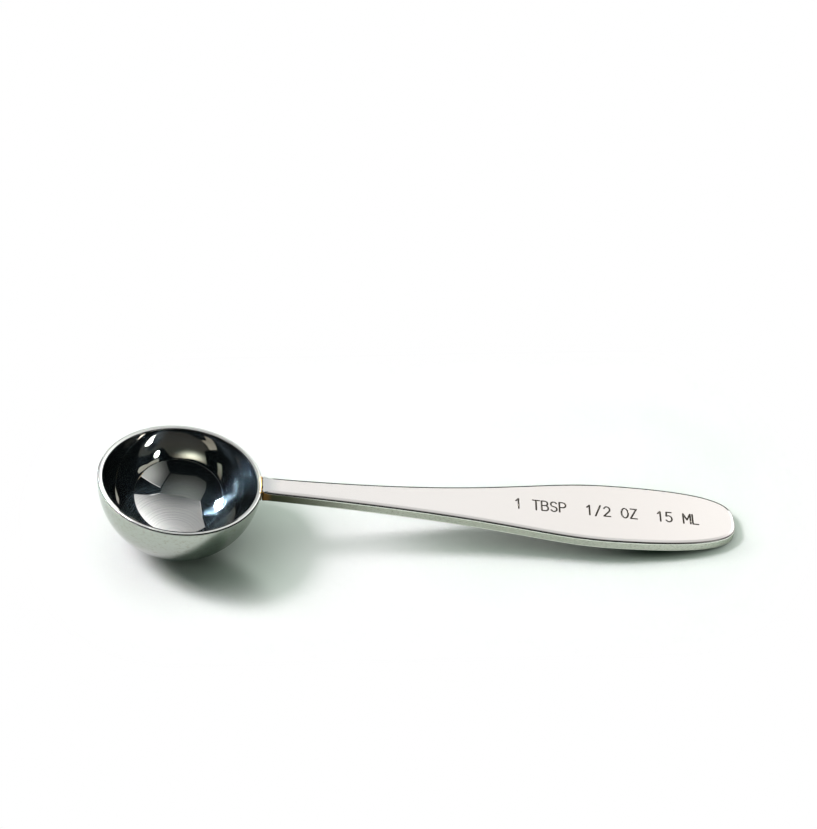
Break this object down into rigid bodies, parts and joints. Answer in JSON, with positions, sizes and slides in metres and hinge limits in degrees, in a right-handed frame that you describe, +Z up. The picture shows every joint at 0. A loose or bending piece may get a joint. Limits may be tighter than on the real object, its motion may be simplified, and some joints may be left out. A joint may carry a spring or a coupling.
{
  "type": "tea measuring spoon",
  "caption": "Stainless tea measuring spoon: a hemispherical bowl with a rounded lip, welded to a flat bar handle that widens into a round-ended paddle.",
  "frame": {"origin": "centre of the footprint, on the surface that the spoon lies on", "axes": "+Z up, +X from the bowl towards the handle's tip, the spoon is symmetric left to right about the XZ plane; it lies tilted 7.8 degrees, on the round of its bowl and the tip of its handle"},
  "size_m": [0.1592, 0.0408, 0.0231],
  "materials": {
    "polished_steel": "polished stainless steel with fine circular polishing lines",
    "satin_steel": "smooth satin stainless steel",
    "heat_tinted_weld": "rippled weld metal, tinted gold and brown by heat"
  },
  "bodies": {
    "root": {"bowl": "polished_steel", "handle": "satin_steel", "weld_bead": "heat_tinted_weld"}
  },
  "joints": []
}
